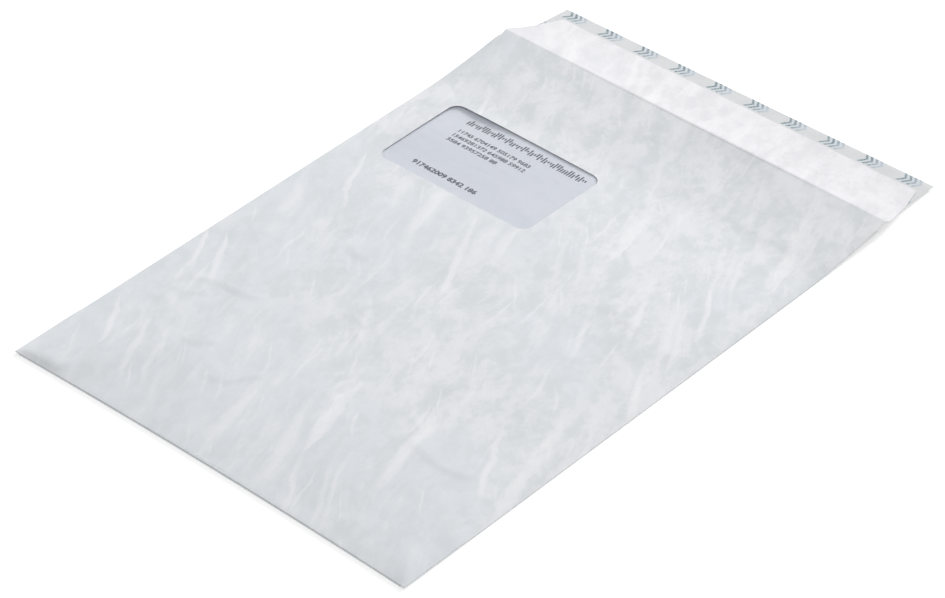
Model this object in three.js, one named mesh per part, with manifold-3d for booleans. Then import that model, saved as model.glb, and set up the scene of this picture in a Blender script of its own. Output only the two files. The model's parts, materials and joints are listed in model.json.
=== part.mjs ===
// C4 window mailing envelope, lying on its back with the window up and the seal flap open.
// Millimetres: +X right, +Y towards the flap, +Z up, origin on the table under the body's middle.
import * as THREE from 'three';
import { mergeVertices } from 'three/addons/utils/BufferGeometryUtils.js';
import Module from 'manifold-3d';

const wasm = await Module();
wasm.setup();

// Body: one folded sheet, drawn as its panels
const bodyWidth = 229;
const bodyLength = 324;
const sheetThickness = 0.25;
const foldHeight = 1.6;
const pillowHeight = 1.4;
const pillowRiseLength = 50;
const pillowFallLength = 60;
const layerGap = 0.06;
const foldSegments = 4;

// Mouth end, which the open flap props up off the table
const creaseHeight = 5.7;
const riseLength = 56;
const riseBendLength = 14;
const creaseSetback = 0.3;
const throatDepth = 6;
const throatDip = 4;

// Glued seams on the back
const glueThickness = 0.1;
const seamLap = 16;
const seamGlueWidth = 10;
const seamStepLength = 9;
const seamStepMargin = 1;
const bottomFlapDepth = 32;
const bottomFlapInset = 2.5;
const bottomFlapTaper = 13;
const bottomFlapCornerRadius = 6;
const bottomStepMargin = 2;
const bottomStepLength = 12;
const backPanelBottomMargin = 1.5;
const bottomGlueWidth = 16;
const bottomGlueMargin = 3;
const bottomGlueRadius = 2;
const glueEndMargin = 8;

// Window, its film and the glue frame between film and panel
const windowWidth = 90;
const windowHeight = 55;
const windowCornerRadius = 5.5;
const windowLeftMargin = 20;
const windowTopMargin = 58;
const filmThickness = 0.12;
const filmMargin = 9;
const glueFrameWidth = 6;
const glueFrameInset = 1.5;

// Seal flap with its peel-and-seal strip
const flapDepth = 30.5;
const flapTaper = 9.8;
const flapRootInset = 0.15;
const flapCornerRadius = 3;
const flapClosedClearance = 0.3;
const adhesiveWidth = 11;
const adhesiveThickness = 0.12;
const adhesiveFarMargin = 2.5;
const adhesiveSideMargin = 7;
const adhesiveCornerRadius = 1;
const linerThickness = 0.15;
const linerWidth = 26.3;
const linerOverhang = 9.8;
const linerSideMargin = 5;
const linerCornerRadius = 0.8;
const linerTableClearance = 0.05;

// Letter in the pocket
const letterThickness = 0.2;
const letterSideClearance = 9.5;
const letterBottomClearance = 3;
const letterHeadroom = 24;
const letterGap = 0.08;

const halfWidth = bodyWidth / 2;
const halfLength = bodyLength / 2;
const foldRadius = foldHeight / 2;
const glueStack = layerGap + glueThickness + layerGap;
const lapStep = sheetThickness + glueStack;
const mouthEnd = halfLength - creaseSetback;
const riseStart = halfLength - riseLength;
const riseSlope = (creaseHeight - foldHeight) / (riseLength - riseBendLength / 2);
const bottomStepStart = -halfLength + bottomFlapDepth + bottomStepMargin;
const bottomStepEnd = bottomStepStart + bottomStepLength;

function smooth(t) {
  const clamped = Math.min(Math.max(t, 0), 1);
  return clamped * clamped * (3 - 2 * clamped);
}

// Outer face of the back panels above the table: up over the bottom flap, and up again at the mouth.
function backLevel(y) {
  const overBottomFlap = lapStep * (1 - smooth((y - bottomStepStart) / bottomStepLength));
  const run = y - riseStart;
  if (run <= 0) return overBottomFlap;
  if (run < riseBendLength) return overBottomFlap + riseSlope * run * run / (2 * riseBendLength);
  return overBottomFlap + riseSlope * (run - riseBendLength / 2);
}

// How far the front panel bulges above its fold height.
function pillow(x, y) {
  const across = 1 - Math.min(Math.abs(x) / (halfWidth - foldRadius), 1) ** 4;
  const fromBottom = Math.min((y + halfLength - foldRadius) / pillowRiseLength, 1);
  const bottomEnd = 1 - (1 - Math.max(fromBottom, 0)) ** 3;
  return pillowHeight * across * bottomEnd * smooth((mouthEnd - y) / pillowFallLength);
}

// Height of the front panel's inner or outer face, away from its folds.
function frontLevel(x, y, depth) {
  return backLevel(y) + foldHeight + pillow(x, y) - depth;
}

function spread(...stops) {
  const values = [stops[0]];
  for (let i = 1; i < stops.length; i += 2) {
    const start = values[values.length - 1];
    const [cells, end] = [stops[i], stops[i + 1]];
    for (let k = 1; k <= cells; k++) values.push(start + (end - start) * k / cells);
  }
  return values;
}

// Closes two equal grids of points into one thin solid: top[row][column] lies above bottom.
function closedSheet(top, bottom) {
  const rows = top.length;
  const columns = top[0].length;
  const count = rows * columns;
  const positions = [...top.flat(2), ...bottom.flat(2)];
  const indices = [];
  const quad = (a, b, c, d) => indices.push(a, b, c, a, c, d);
  for (let r = 0; r < rows - 1; r++) {
    for (let c = 0; c < columns - 1; c++) {
      const a = r * columns + c;
      const b = a + 1;
      quad(a, b, b + columns, a + columns);
      quad(count + a, count + a + columns, count + b + columns, count + b);
    }
  }
  const rim = [];
  for (let c = 0; c < columns - 1; c++) rim.push(c);
  for (let r = 0; r < rows - 1; r++) rim.push(r * columns + columns - 1);
  for (let c = columns - 1; c > 0; c--) rim.push((rows - 1) * columns + c);
  for (let r = rows - 1; r > 0; r--) rim.push(r * columns);
  rim.forEach((a, i) => {
    const b = rim[(i + 1) % rim.length];
    quad(a, count + a, count + b, b);
  });
  const geometry = new THREE.BufferGeometry();
  geometry.setAttribute('position', new THREE.Float32BufferAttribute(positions, 3));
  geometry.setIndex(indices);
  return geometry;
}

// A plate that follows a height function: level(x, y, depth) is its face at that depth below the top.
function curvedPlate(xs, ys, level, thickness) {
  const face = (depth) => ys.map((y) => xs.map((x) => [x, y, level(x, y, depth)]));
  return closedSheet(face(0), face(thickness));
}

function toSolid(geometry) {
  const bare = new THREE.BufferGeometry();
  bare.setAttribute('position', geometry.getAttribute('position'));
  if (geometry.index) bare.setIndex(geometry.index);
  const merged = mergeVertices(bare, 1e-5);
  return new wasm.Manifold(new wasm.Mesh({
    numProp: 3,
    vertProperties: new Float32Array(merged.getAttribute('position').array),
    triVerts: new Uint32Array(merged.index.array),
  }));
}

function toGeometry(solid) {
  const mesh = solid.getMesh();
  const geometry = new THREE.BufferGeometry();
  geometry.setAttribute('position', new THREE.BufferAttribute(new Float32Array(mesh.vertProperties), 3));
  geometry.setIndex(new THREE.BufferAttribute(new Uint32Array(mesh.triVerts), 1));
  return geometry;
}

function roundedRectangle(left, right, bottom, top, radius) {
  const shape = new THREE.Shape();
  shape.absarc(right - radius, top - radius, radius, 0, Math.PI / 2);
  shape.absarc(left + radius, top - radius, radius, Math.PI / 2, Math.PI);
  shape.absarc(left + radius, bottom + radius, radius, Math.PI, Math.PI * 1.5);
  shape.absarc(right - radius, bottom + radius, radius, Math.PI * 1.5, Math.PI * 2);
  return shape;
}

// An upright prism through the whole body, to cut windows out of curved plates.
function cutter(shape) {
  const geometry = new THREE.ExtrudeGeometry(shape, {
    depth: creaseHeight + foldHeight + pillowHeight, bevelEnabled: false, curveSegments: 6,
  });
  return toSolid(geometry);
}

function plate(shape, thickness) {
  return new THREE.ExtrudeGeometry(shape, { depth: thickness, bevelEnabled: false, curveSegments: 5 });
}

// Quarter-round stations from the middle of a fold's height (0) to its flat side (1).
function foldStations() {
  const stations = [];
  for (let k = 0; k < foldSegments; k++) {
    const angle = k / foldSegments * Math.PI / 2;
    stations.push({ out: Math.cos(angle), up: Math.sin(angle) });
  }
  return stations;
}

const windowLeft = -halfWidth + windowLeftMargin;
const windowRight = windowLeft + windowWidth;
const windowTop = halfLength - windowTopMargin;
const windowBottom = windowTop - windowHeight;

function grownWindow(margin) {
  const radius = windowCornerRadius + margin;
  return roundedRectangle(
    windowLeft - margin, windowRight + margin, windowBottom - margin, windowTop + margin, radius);
}

// Front panel: the upper half of the side and bottom folds, the bulged face and the window cut-out.
function frontPanel() {
  const side = foldStations();
  const flatX = halfWidth - foldRadius;
  const flatXs = spread(-flatX, 14, flatX);
  const columns = [
    ...side.map((s) => ({ x: (r) => -flatX - r * s.out, up: s.up })),
    ...flatXs.map((x) => ({ x: () => x, up: 1 })),
    ...[...side].reverse().map((s) => ({ x: (r) => flatX + r * s.out, up: s.up })),
  ];
  const flatY = halfLength - foldRadius;
  const flatYs = spread(-flatY, 5, bottomStepStart, 3, bottomStepEnd, 9, riseStart, 4,
    riseStart + riseBendLength, 5, mouthEnd);
  const rows = [
    ...side.map((s) => ({ y: (r) => -flatY - r * s.out, up: s.up })),
    ...flatYs.map((y) => ({ y: () => y, up: 1 })),
  ];
  const face = (radius) => rows.map((row) => columns.map((column) => {
    const x = column.x(radius);
    const y = row.y(radius);
    const z = backLevel(y) + foldRadius + radius * column.up * row.up + pillow(x, y);
    return [x, y, z];
  }));
  const sheet = toSolid(closedSheet(face(foldRadius), face(foldRadius - sheetThickness)));
  return toGeometry(sheet.subtract(cutter(grownWindow(0))));
}

// Back panel: the lower half of one side fold and the flat run to the centre seam. The upper panel
// of the seam is raised by the lap, and comes down again beside it.
function backPanel(sideSign, raised) {
  const flatX = halfWidth - foldRadius;
  const lapEdge = seamLap / 2;
  const stepStart = lapEdge + seamStepMargin;
  const half = foldRadius - layerGap / 2;
  const flatRun = raised
    ? spread(flatX, 7, stepStart + seamStepLength, 3, stepStart, 3, -lapEdge)
    : spread(flatX, 8, -lapEdge);
  const columns = [
    ...foldStations().map((s) => ({ x: (inset) => flatX + (foldRadius - inset) * s.out, up: s.up })),
    ...flatRun.map((x) => ({ x: () => x, up: 1 })),
  ];
  const lift = (x) => (raised ? lapStep * (1 - smooth((x - stepStart) / seamStepLength)) : 0);
  const throat = halfLength - throatDepth;
  const ys = spread(-halfLength + backPanelBottomMargin, 4, bottomStepStart, 3, bottomStepEnd, 8,
    riseStart, 4, riseStart + riseBendLength, 3, throat - 1.5 * throatDip);
  const face = (inset) => [...ys, throat].map((station) => columns.map((column) => {
    const x = column.x(inset);
    const dip = station === throat ? throatDip * (1 - Math.min(Math.abs(x) / flatX, 1)) : 0;
    const y = station - dip;
    const z = backLevel(y) + half - (half - inset) * column.up + lift(x);
    return [x * sideSign, y, z];
  }));
  const top = face(sheetThickness);
  const bottom = face(0);
  return sideSign < 0 ? closedSheet(top, bottom) : closedSheet(mirrored(top), mirrored(bottom));
}

function mirrored(grid) {
  return grid.map((row) => [...row].reverse());
}

// Bottom flap: the lower half of the bottom fold and the tapered tongue under the back panels.
function bottomFlap() {
  const rootHalf = halfWidth - bottomFlapInset;
  const flatY = halfLength - foldRadius;
  const foldMiddle = backLevel(-halfLength) + foldRadius - layerGap / 2;
  const endY = -halfLength + bottomFlapDepth;
  const corner = bottomFlapCornerRadius;
  const rows = foldStations().map((s) => ({
    y: (inset) => -flatY - (foldRadius - inset) * s.out,
    z: (inset) => foldMiddle - (foldMiddle - inset) * s.up,
  }));
  const flatYs = spread(-flatY, 3, endY - corner);
  const cornerYs = [0.35, 0.65, 0.88, 1].map((t) => endY - corner + corner * t);
  [...flatYs, ...cornerYs].forEach((y) => rows.push({ y: () => y, z: (inset) => inset }));
  const halfAt = (y) => {
    const slanted = rootHalf - bottomFlapTaper * Math.max(y + flatY, 0) / bottomFlapDepth;
    const into = Math.max(y - (endY - corner), 0);
    return slanted - corner + Math.sqrt(corner * corner - into * into);
  };
  const shares = spread(-1, 8, 1);
  const face = (inset) => rows.map((row) => {
    const y = row.y(inset);
    return shares.map((share) => [share * halfAt(y), y, row.z(inset)]);
  });
  return closedSheet(face(sheetThickness), face(0));
}

function bottomFlapGlue() {
  const half = halfWidth - bottomFlapInset - bottomFlapTaper - glueEndMargin;
  const top = -halfLength + bottomFlapDepth - bottomGlueMargin;
  const shape = roundedRectangle(-half, half, top - bottomGlueWidth, top, bottomGlueRadius);
  return plate(shape, glueThickness);
}

function centreSeamGlue() {
  const ys = spread(-halfLength + glueEndMargin, 3, bottomStepStart, 3, bottomStepEnd, 3, riseStart, 4,
    riseStart + riseBendLength, 2, halfLength - throatDepth - throatDip - glueEndMargin);
  const top = sheetThickness + layerGap + glueThickness;
  const level = (x, y, depth) => backLevel(y) + top - depth;
  return curvedPlate([-seamGlueWidth / 2, seamGlueWidth / 2], ys, level, glueThickness);
}

function windowGlueFrame() {
  const margin = glueFrameInset + glueFrameWidth;
  const xs = spread(windowLeft - margin, 8, windowRight + margin);
  const ys = spread(windowBottom - margin, 7, windowTop + margin);
  const level = (x, y, depth) => frontLevel(x, y, sheetThickness + layerGap + depth);
  const blank = toSolid(curvedPlate(xs, ys, level, glueThickness));
  return toGeometry(blank.subtract(cutter(grownWindow(glueFrameInset))));
}

function windowFilm() {
  const xs = spread(windowLeft - filmMargin, 8, windowRight + filmMargin);
  const ys = spread(windowBottom - filmMargin, 7, windowTop + filmMargin);
  const level = (x, y, depth) => frontLevel(x, y, sheetThickness + glueStack + depth);
  return curvedPlate(xs, ys, level, filmThickness);
}

function letterSheet() {
  const half = halfWidth - letterSideClearance;
  const ys = spread(-halfLength + letterBottomClearance, 3, bottomStepStart, 3, bottomStepEnd, 6,
    riseStart, 4, riseStart + riseBendLength, 2, halfLength - letterHeadroom);
  const bottom = lapStep + sheetThickness + letterGap;
  const level = (x, y, depth) => backLevel(y) + bottom + letterThickness - depth;
  return curvedPlate(spread(-half, 2, half), ys, level, letterThickness);
}

// Seal flap: it turns about a line inside the mouth's thickness, so that closed it lies under the back.
const linerReach = flapDepth + linerOverhang;
const stackBelowFlap = layerGap + adhesiveThickness + layerGap + linerThickness;
const hingeToCrease = creaseHeight - sheetThickness;
const hingeBelowBack = creaseHeight - foldHeight - stackBelowFlap - flapClosedClearance;
const hingeHeight = (hingeToCrease + hingeBelowBack) / 2;
const flapOffset = hingeToCrease - hingeHeight;
const linerDrop = creaseHeight - sheetThickness - stackBelowFlap - linerTableClearance;
const flapAngle = Math.asin(linerDrop / linerReach);

function sealFlap() {
  const rootHalf = halfWidth - flapRootInset;
  const farHalf = halfWidth - flapTaper;
  const corner = flapCornerRadius;
  const slope = (rootHalf - farHalf) / (flapDepth - flapRootInset);
  const shape = new THREE.Shape();
  shape.moveTo(-rootHalf, flapRootInset);
  shape.lineTo(rootHalf, flapRootInset);
  shape.lineTo(farHalf + slope * corner, flapDepth - corner);
  shape.quadraticCurveTo(farHalf, flapDepth, farHalf - corner, flapDepth);
  shape.lineTo(-farHalf + corner, flapDepth);
  shape.quadraticCurveTo(-farHalf, flapDepth, -farHalf - slope * corner, flapDepth - corner);
  shape.closePath();
  return plate(shape, sheetThickness);
}

function flapAdhesive() {
  const half = halfWidth - flapTaper - adhesiveSideMargin;
  const far = flapDepth - adhesiveFarMargin;
  const shape = roundedRectangle(-half, half, far - adhesiveWidth, far, adhesiveCornerRadius);
  return plate(shape, adhesiveThickness);
}

function releaseLiner() {
  const half = halfWidth - linerSideMargin;
  const near = linerReach - linerWidth;
  return plate(roundedRectangle(-half, half, near, linerReach, linerCornerRadius), linerThickness);
}

function finish(color, roughness, extra = {}) {
  return new THREE.MeshStandardMaterial({ color, roughness, metalness: 0, ...extra });
}

const spunbondedSheet = finish(0xdde1e5, 0.62);
const flapSheet = finish(0xf0f1f4, 0.58);
const clearFilm = finish(0xeef2f6, 0.12, { transparent: true, opacity: 0.25 });
const whiteGlue = finish(0xe4e0cf, 0.5);
const sealAdhesive = finish(0xd8d2b4, 0.35);
const coatedLiner = finish(0xdfe3e4, 0.35);
const letterPaper = finish(0xe3e8ee, 0.8);

function part(name, geometry, material) {
  const mesh = new THREE.Mesh(geometry, material);
  mesh.name = name;
  return mesh;
}

const body = new THREE.Group();
body.add(part('front_panel', frontPanel(), spunbondedSheet));
body.add(part('left_back_panel', backPanel(-1, false), spunbondedSheet));
body.add(part('right_back_panel', backPanel(1, true), spunbondedSheet));
body.add(part('bottom_flap', bottomFlap(), spunbondedSheet));
body.add(part('centre_seam_glue', centreSeamGlue(), whiteGlue));
body.add(part('window_film', windowFilm(), clearFilm));
body.add(part('window_glue_frame', windowGlueFrame(), whiteGlue));
body.add(part('letter_sheet', letterSheet(), letterPaper));

const bottomGlue = part('bottom_flap_glue', bottomFlapGlue(), whiteGlue);
bottomGlue.position.z = sheetThickness + layerGap;
body.add(bottomGlue);

const flap = new THREE.Group();
flap.position.set(0, halfLength, hingeHeight);
flap.rotation.x = -flapAngle;
const flapPieces = [
  ['seal_flap', sealFlap(), flapSheet, flapOffset],
  ['flap_adhesive', flapAdhesive(), sealAdhesive, flapOffset - layerGap - adhesiveThickness],
  ['release_liner', releaseLiner(), coatedLiner, flapOffset - stackBelowFlap],
];
for (const [name, geometry, material, height] of flapPieces) {
  const piece = part(name, geometry, material);
  piece.position.z = height;
  flap.add(piece);
}

const envelope = new THREE.Group();
envelope.add(body, flap);

export default envelope;
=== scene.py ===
import json
import math
import bpy
import numpy as np
from mathutils import Matrix, Vector


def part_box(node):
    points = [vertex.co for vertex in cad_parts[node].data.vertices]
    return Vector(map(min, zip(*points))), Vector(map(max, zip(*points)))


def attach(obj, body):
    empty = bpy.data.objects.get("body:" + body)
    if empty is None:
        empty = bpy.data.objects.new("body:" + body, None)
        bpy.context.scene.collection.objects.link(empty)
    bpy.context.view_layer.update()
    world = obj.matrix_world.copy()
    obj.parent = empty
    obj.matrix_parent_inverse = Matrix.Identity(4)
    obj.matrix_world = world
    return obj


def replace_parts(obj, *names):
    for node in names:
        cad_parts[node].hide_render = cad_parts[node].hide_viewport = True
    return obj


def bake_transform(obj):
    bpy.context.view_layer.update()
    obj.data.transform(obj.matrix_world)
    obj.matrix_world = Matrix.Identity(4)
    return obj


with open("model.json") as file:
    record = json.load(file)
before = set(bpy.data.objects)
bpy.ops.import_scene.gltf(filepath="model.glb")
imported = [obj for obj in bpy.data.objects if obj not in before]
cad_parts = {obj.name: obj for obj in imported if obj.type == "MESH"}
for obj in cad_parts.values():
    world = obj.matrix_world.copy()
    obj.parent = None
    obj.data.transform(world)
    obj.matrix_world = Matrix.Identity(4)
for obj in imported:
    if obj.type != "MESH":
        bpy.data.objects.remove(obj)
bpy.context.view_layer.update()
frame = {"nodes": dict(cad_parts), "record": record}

mm = 0.001
scene = bpy.context.scene
foldAngles = np.radians(np.arange(0, 90, 15))       # steps round the outer quarter of a fold
sharpFrom = math.radians(38)                        # edges that bend more are shaded sharp

# Places taken from the frame
panelLow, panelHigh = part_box("front_panel")
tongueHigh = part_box("bottom_flap")[1]
filmLow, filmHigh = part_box("window_film")
letterLow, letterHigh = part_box("letter_sheet")
linerLow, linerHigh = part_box("release_liner")
jointRows = {joint["name"]: joint for joint in frame["record"]["behaviour"]["joints"]}
hingeY, hingeZ = jointRows["flap_crease"]["pos_m"][1:]
halfWidth = panelHigh.x
bottomY = panelLow.y
mouthY = panelHigh.y
tongueEnd = tongueHigh.y

# How the folded sheet lies
lie = {
    "thickness": 0.25 * mm,
    "foldHeight": 1.6 * mm,     # outside height where the folds stand open
    "foldRadius": 0.32 * mm,    # half the height of a pressed fold
    "foldOpening": 28 * mm,     # the side folds open over this last stretch to the mouth
    # The front rises from its folds over these widths; the bottom corners are pressed flatter
    "sideRun": 9 * mm,
    "bottomPlaces": (-114 * mm, -92 * mm, -55 * mm, 80 * mm, 112 * mm),
    "bottomRuns": (4 * mm, 6 * mm, 80 * mm, 60 * mm, 4 * mm),
    "creaseHeight": 5.7 * mm,
    "riseLength": 56 * mm,
    "riseBend": 14 * mm,
    "pillow": 1.4 * mm,
    "pillowSquare": 4,          # how far out the swelling stays level
    "pillowRise": 150 * mm,
    "pillowFall": 60 * mm,
    "lapStep": 0.47 * mm,
    "lapStepLength": 12 * mm,
    "lapStepMargin": 2 * mm,
    "gap": 0.06 * mm,
    "edgePull": 1.7 * mm,       # the middle of the bottom edge is drawn in
    "edgePullReach": 45 * mm,
}
backSizes = {
    "lap": 8 * mm, "lapMargin": 1 * mm, "lapFall": 9 * mm,
    "bottomMargin": 1.5 * mm, "throatDepth": 6 * mm, "throatDip": 4 * mm, "step": 2.5 * mm,
    "notch": 0.9 * mm, "notchRise": 2.2 * mm,   # the edge steps in where the side fold ends
    "notchSquare": 12, "notchDroop": 0.8,
    "seamStep": 0.9 * mm, "edgeRun": 1.5, "edgeShares": (0.35, 0.7, 1.0),
}
creaseZ = lie["creaseHeight"]
foldRadius = lie["foldRadius"]
flatX = halfWidth - foldRadius
flatY = bottomY + foldRadius
riseStart = hingeY - lie["riseLength"]
riseSlope = (creaseZ - lie["foldHeight"]) / (lie["riseLength"] - lie["riseBend"] / 2)


def smooth(t):
    t = np.clip(t, 0, 1)
    return t * t * (3 - 2 * t)


# Outer face of the back above the table
def backLevel(y):
    overTongue = lie["lapStep"] * (1 - smooth((y - tongueEnd - lie["lapStepMargin"]) / lie["lapStepLength"]))
    run = np.maximum(y - riseStart, 0)
    bend = lie["riseBend"]
    return overTongue + riseSlope * np.where(run < bend, run * run / (2 * bend), run - bend / 2)


# Half the outside height of the side folds
def openFold(y):
    opening = smooth((y - hingeY) / lie["foldOpening"] + 1)
    return foldRadius + (lie["foldHeight"] / 2 - foldRadius) * opening


# Outer face of the front without its swelling: pressed down at the folds
def foldedLevel(x, y):
    side = np.clip(1 - (flatX - np.abs(x)) / lie["sideRun"], 0, 1) ** 2
    run = np.interp(x, lie["bottomPlaces"], lie["bottomRuns"])
    bottom = np.clip(1 - (y - flatY) / run, 0, 1) ** 2
    low = 2 * openFold(y)
    return backLevel(y) + low + (lie["foldHeight"] - low) * (1 - side) * (1 - bottom)


# Air between front and back lifts the front between its folds
def pillow(x, y):
    across = 1 - np.minimum(np.abs(x) / flatX, 1) ** lie["pillowSquare"]
    bottom = 1 - (1 - np.clip((y - flatY) / lie["pillowRise"], 0, 1)) ** 2
    return lie["pillow"] * across * bottom * smooth((mouthY - y) / lie["pillowFall"])


# Soft waves and handling creases of the front, all faded out at the folds
waves = {
    "height": 0.045 * mm,
    "count": 11,
    "longest": 120 * mm,
    "shortest": 26 * mm,
    "lean": 17,                 # degrees from the long side, upper left to lower right
    "spread": 38,
    "swing": 0.9, "swingLength": 0.9, "swingShift": 3,      # how each wave winds along its length
    "seed": 4,
    "edgeFade": 9 * mm,
}
# Each crease in millimetres: start, end, bow to one side, half width of its steep side, height
creases = (
    ((-98, -78), (-55, -68), 3.2, 1.3, 0.22),
    ((-94, -85), (-76, -78), -1.0, 1.4, 0.10),
    ((-105, -96), (-84, -96), 0.8, 1.2, 0.10),
    ((-80, -87), (-70, -88), 0.6, 0.9, 0.10),
    ((-43, -123), (-17, -99), -3.6, 2.3, 0.20),
    ((-66, -110), (-48, -99), -1.2, 1.6, 0.13),
    ((-68, -3), (-60, -5), 0.4, 0.9, 0.12),
    ((-60, -12), (-44, -17), 0.8, 1.1, 0.18),
    ((30, -64), (49, -58), 1.2, 1.5, 0.14),
    ((53, 36), (59, 27), 0.5, 1.0, 0.12),
    ((62, 30), (84, 29), -1.2, 1.3, 0.14),
    ((60, -7), (80, -4), -0.8, 1.2, 0.12),
    ((50, -93), (96, -94), -4.0, 1.7, 0.20),
    ((-99, 26), (-84, 17), 1.0, 1.2, 0.10),
    ((-30, -47), (-8, -53), 1.2, 1.6, 0.10),
    ((42, 119), (108, 116), 1.0, 2.4, 0.10),
    ((-30, 140), (20, 144), 1.5, 3.0, 0.08),
    ((-12, 116), (10, 121), 1.0, 2.0, 0.08),
)
# Each lift in millimetres: middle, reach in x and y, height
lifts = (
    ((-74, 101), (16, 7), 0.40),
    ((-20, 24), (26, 20), 0.20),
    ((66, -30), (22, 34), 0.20),
    ((-58, -120), (30, 12), 0.15),
)
creaseShape = {
    "fade": 9 * mm,             # how far a crease takes to sink back behind its steep side
    "strength": 1.4,
    "wander": 0.8 * mm, "wanderTurns": 9, "wanderShift": 400,
    "ends": 0.25,               # share of its length over which each end dies out
}

# The front hangs in a shallow valley before it climbs to the crease, and spans the step of the flap
valley = {
    "start": 35 * mm,
    "places": (-114 * mm, -60 * mm, 0, 50 * mm, 114 * mm),
    "bottoms": (104 * mm, 110 * mm, 127 * mm, 122 * mm, 117 * mm),
    "depths": (0, 0.29 * mm, 1.07 * mm, 1.31 * mm, 0.69 * mm),
    "lips": (0, 0.1 * mm, 0.15 * mm, 0.13 * mm, 0.02 * mm),
    "lipRun": 1.0 * mm,         # the last, steepest step up to the crease
    "spanLength": 70 * mm,
    "steepening": 2.1,          # the climb gets steeper towards the crease
    "square": 8,                # how far out it keeps its depth
}


def softWaves(x, y):
    draw = np.random.default_rng(waves["seed"])
    total = np.zeros_like(x)
    for _ in range(waves["count"]):
        length = waves["shortest"] * (waves["longest"] / waves["shortest"]) ** draw.random()
        turn = math.radians(waves["lean"] + waves["spread"] * (draw.random() * 2 - 1))
        phase = draw.random() * 2 * math.pi
        across = x * math.cos(turn) + y * math.sin(turn)
        along = y * math.cos(turn) - x * math.sin(turn)
        swing = waves["swing"] * np.sin(along / (waves["swingLength"] * length) + phase * waves["swingShift"])
        total += np.sin(2 * math.pi * across / length + phase + swing) * math.sqrt(length / waves["longest"])
    return waves["height"] * total


def creaseLines(x, y):
    total = np.zeros_like(x)
    for start, end, bow, width, height in creases:
        a, b = np.array(start) * mm, np.array(end) * mm
        run = b - a
        length = np.hypot(*run)
        t = ((x - a[0]) * run[0] + (y - a[1]) * run[1]) / length ** 2
        off = ((y - a[1]) * run[0] - (x - a[0]) * run[1]) / length
        middle = bow * mm * (1 - (2 * t - 1) ** 2)
        wander = np.sin(t * creaseShape["wanderTurns"] + length * creaseShape["wanderShift"])
        d = off - middle - creaseShape["wander"] * wander
        ends = smooth(t / creaseShape["ends"]) * smooth((1 - t) / creaseShape["ends"])
        steep = smooth((d / (width * mm) + 1) / 2)
        total += height * mm * steep * np.exp(-np.maximum(d, 0) / creaseShape["fade"]) * ends
    return creaseShape["strength"] * total


def localLifts(x, y):
    total = np.zeros_like(x)
    for place, reach, height in lifts:
        d = ((x / mm - place[0]) / reach[0]) ** 2 + ((y / mm - place[1]) / reach[1]) ** 2
        total += height * mm * np.exp(-d)
    return total


def hang(x, y):
    bottom, depth, lip = (np.interp(x, valley["places"], valley[key]) for key in ("bottoms", "depths", "lips"))
    down = smooth((y - valley["start"]) / (bottom - valley["start"]))
    climb = np.clip((y - bottom) / (hingeY - bottom), 0, 1) ** valley["steepening"]
    step = smooth((y - hingeY + valley["lipRun"]) / valley["lipRun"])
    dip = np.where(y < bottom, (depth + lip) * down, depth * (1 - climb) + lip * (1 - step))
    stepStart = tongueEnd + lie["lapStepMargin"]
    own = smooth((y - stepStart) / lie["lapStepLength"])
    spanned = smooth((y - stepStart) / valley["spanLength"])
    across = 1 - np.minimum(np.abs(x) / flatX, 1) ** valley["square"]
    return (lie["lapStep"] * (own - spanned) - dip) * across


def wrinkles(x, y):
    fade = smooth((flatX - np.abs(x)) / waves["edgeFade"]) * smooth((y - flatY) / waves["edgeFade"])
    fade = fade * smooth((mouthY - y) / waves["edgeFade"])
    return (softWaves(x, y) + creaseLines(x, y) + localLifts(x, y)) * fade + hang(x, y)


# Height of the front at a depth below its outer face
def frontLevel(x, y, depth):
    return foldedLevel(x, y) + pillow(x, y) + wrinkles(x, y) - depth


# The bottom edge is drawn in between its corners, with everything that lies near it
def pullIn(points):
    x, y = points[..., 0], points[..., 1]
    reach = 1 - smooth((y - bottomY) / lie["edgePullReach"])
    points[..., 1] = y + lie["edgePull"] * (1 - (x / halfWidth) ** 2) * reach
    return points


def spread(start, *stops):
    values = [start]
    for end, step in stops:
        first = values[-1]
        cells = max(1, round(abs(end - first) / step))
        values += [first + (end - first) * k / cells for k in range(1, cells + 1)]
    return np.array(values)


# The outer quarter of a fold, then a run of places: their base, reach outwards and share of the height
def foldRun(start, places):
    return (np.concatenate([np.full(len(foldAngles), start), places]),
            np.concatenate([np.cos(foldAngles), np.zeros(len(places))]),
            np.concatenate([np.sin(foldAngles), np.ones(len(places))]))


# A mesh with the place of each point on its flat sheet, which the finishes read
def newPiece(name, points, faces, places):
    mesh = bpy.data.meshes.new(name)
    mesh.from_pydata(points.tolist(), [], faces)
    place = mesh.attributes.new("flatPlace", "FLOAT_VECTOR", "POINT")
    place.data.foreach_set("vector", places.astype(np.float32).ravel())
    piece = bpy.data.objects.new(name, mesh)
    scene.collection.objects.link(piece)
    return piece


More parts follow.
